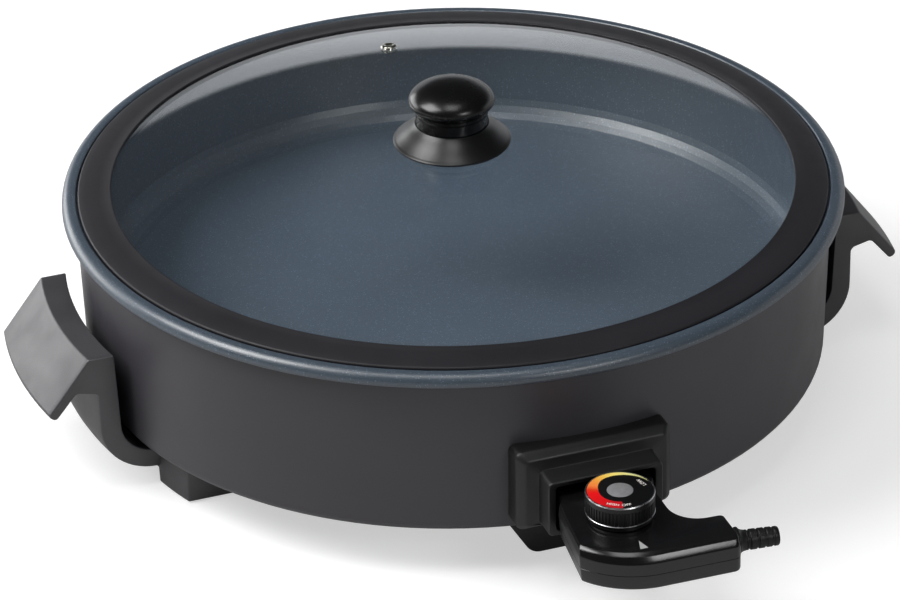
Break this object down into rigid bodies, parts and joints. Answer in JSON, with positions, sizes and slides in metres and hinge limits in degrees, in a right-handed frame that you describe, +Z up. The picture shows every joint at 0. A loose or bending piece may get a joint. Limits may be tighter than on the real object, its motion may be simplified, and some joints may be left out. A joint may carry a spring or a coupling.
{
  "type": "countertop cooker, round electric skillet with lift-off lid",
  "caption": "Round electric skillet with a dark non-stick pan, domed glass lid with a black knob, grey plastic handles on feet and a plug-in heat control with a dial at the front.",
  "frame": {"origin": "under the middle of the whole object, at table level", "axes": "+X towards the right handle, +Y away from the heat control, +Z up"},
  "size_m": [0.4446, 0.4573, 0.164],
  "materials": {
    "nonstick": "satin speckled non-stick coating on cast aluminium",
    "cast_aluminium": "bare casting",
    "shell_paint": "satin dark grey",
    "bare_steel": "plain sheet",
    "sheath_steel": "heat-dulled tube",
    "plated_pins": "nickel plated",
    "screw_steel": "zinc plated",
    "vent_steel": "polished eyelet",
    "probe_steel": "drawn tube",
    "insulator_ceramic": "unglazed",
    "black_plastic": "fine matte phenolic",
    "handle_plastic": "satin dark grey phenolic",
    "foot_rubber": "matte",
    "boot_rubber": "satin",
    "clear_glass": "clear tempered",
    "lid_silicone": "matte charcoal silicone",
    "washer_silicone": "translucent silicone",
    "gloss_black": "polished phenolic",
    "control_plastic": "satin-gloss phenolic",
    "carrier_plastic": "moulded heat-proof resin",
    "contact_brass": "plain",
    "pointer_grey": "printed pointer",
    "dial_plastic": "ribbed satin",
    "dial_print": "printed scale under clear lacquer",
    "dial_silver": "satin silver trim"
  },
  "bodies": {
    "skillet": {"pan": "nonstick", "heater_casting": "cast_aluminium", "heating_element": "sheath_steel", "terminal_pin_left": "plated_pins", "terminal_pin_right": "plated_pins", "terminal_insulators": "insulator_ceramic", "probe_sleeve": "sheath_steel", "outer_shell": "shell_paint", "base_plate": "bare_steel", "socket_shroud": "black_plastic", "shroud_screws": "screw_steel", "front_foot": "black_plastic", "front_foot_screw": "screw_steel", "front_foot_pad": "foot_rubber", "left_handle": "handle_plastic", "right_handle": "handle_plastic", "left_handle_screws": "screw_steel", "right_handle_screws": "screw_steel", "left_foot_pads": "foot_rubber", "right_foot_pads": "foot_rubber"},
    "lid": {"lid_glass": "clear_glass", "lid_ring": "lid_silicone", "vent_grommet": "vent_steel", "knob": "gloss_black", "knob_skirt": "gloss_black", "knob_insert": "contact_brass", "knob_screw": "screw_steel", "knob_washer": "washer_silicone"},
    "control": {"control_top": "control_plastic", "control_bottom": "control_plastic", "contact_carrier": "carrier_plastic", "left_receptacle": "contact_brass", "right_receptacle": "contact_brass", "probe_rod": "probe_steel", "thermostat_frame": "insulator_ceramic", "fixed_contact": "contact_brass", "moving_contact": "contact_brass", "cord_boot": "boot_rubber", "cord_clamp": "bare_steel", "control_screws": "screw_steel", "pointer_inlay": "pointer_grey"},
    "dial": {"dial_knob": "dial_plastic", "dial_plate": "dial_print", "dial_disc": "dial_silver", "dial_upper_trim": "dial_silver", "dial_lower_trim": "dial_silver", "dial_spindle": "plated_pins"}
  },
  "joints": [
    {"name": "lid_lift", "type": "slide", "parent": "skillet", "child": "lid", "axis": [0, 0, 1], "range_m": [0, 0.15]},
    {"name": "control_unplug", "type": "slide", "parent": "skillet", "child": "control", "axis": [0, -1, 0], "range_m": [0, 0.11]},
    {"name": "dial_turn", "type": "hinge", "parent": "control", "child": "dial", "pos_m": [-0.0035, -0.1913, 0.0635], "axis": [0, 0, 1], "range_deg": [-325, 0]}
  ]
}
